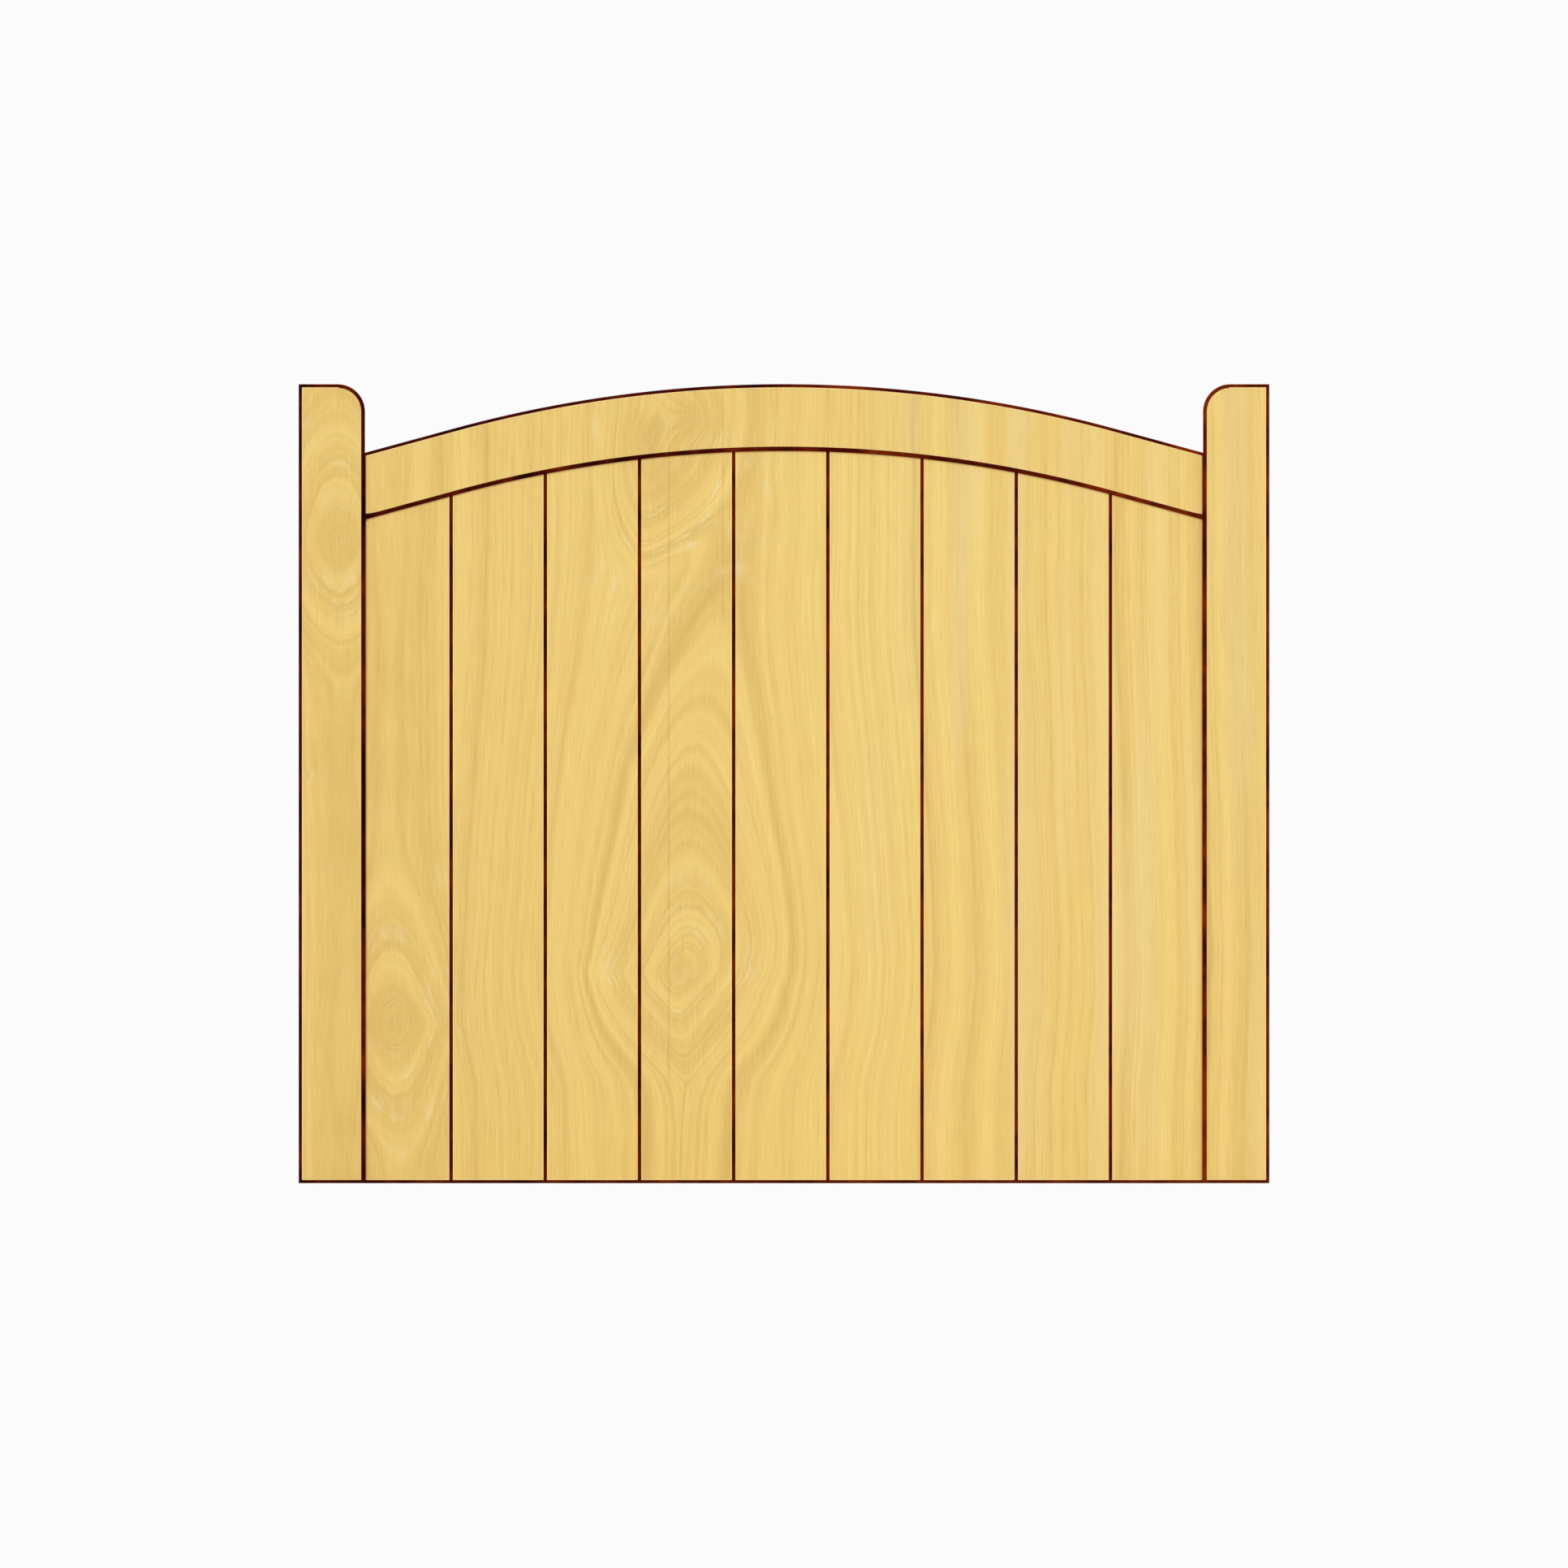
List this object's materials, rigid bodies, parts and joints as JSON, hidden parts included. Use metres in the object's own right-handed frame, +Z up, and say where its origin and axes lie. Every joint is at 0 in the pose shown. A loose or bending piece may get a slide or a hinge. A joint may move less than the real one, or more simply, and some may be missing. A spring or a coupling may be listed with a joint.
{
  "type": "wooden gate",
  "caption": "Bow-top boarded timber garden gate: framed stiles and arched top rail, V-jointed boards, ledges, braces, butt hinges and a sliding bolt.",
  "frame": {"origin": "bottom of the gate, midway along its width, in the plane of the frame's back face", "axes": "+X from the hinge side to the latch side, +Y from the front to the back, +Z up"},
  "size_m": [1.2, 0.0895, 0.988],
  "materials": {
    "timber": "planed softwood with a golden stain, arrises and joints stained dark red-brown",
    "wedge_timber": "bare hardwood end grain",
    "black_iron": "satin black coating",
    "screw_steel": "zinc-plated steel"
  },
  "bodies": {
    "post_side": {"lower_hinge_post_leaf": "black_iron", "upper_hinge_post_leaf": "black_iron", "lower_hinge_pin": "screw_steel", "upper_hinge_pin": "screw_steel"},
    "gate_leaf": {"hinge_stile": "timber", "latch_stile": "timber", "top_rail": "timber", "middle_rail": "timber", "bottom_rail": "timber", "lower_brace": "timber", "upper_brace": "timber", "board_1": "timber", "board_2": "timber", "board_3": "timber", "board_4": "timber", "board_5": "timber", "board_6": "timber", "board_7": "timber", "board_8": "timber", "board_9": "timber", "top_rail_wedges": "wedge_timber", "middle_rail_wedges": "wedge_timber", "bottom_rail_wedges": "wedge_timber", "middle_rail_screws": "screw_steel", "bottom_rail_screws": "screw_steel", "brace_screws": "screw_steel", "hinge_screws": "screw_steel", "bolt_screws": "screw_steel", "lower_hinge_gate_leaf": "black_iron", "upper_hinge_gate_leaf": "black_iron", "bolt_plate": "black_iron", "bolt_guides": "black_iron"},
    "bolt": {"bolt_rod": "screw_steel", "bolt_knob": "black_iron"}
  },
  "joints": [
    {"name": "gate_swing", "type": "hinge", "parent": "post_side", "child": "gate_leaf", "pos_m": [-0.5925, 0.0075, 0.225], "axis": [0, 0, 1], "range_deg": [0, 95]},
    {"name": "bolt_slide", "type": "slide", "parent": "gate_leaf", "child": "bolt", "axis": [1, 0, 0], "range_m": [0, 0.04]}
  ]
}
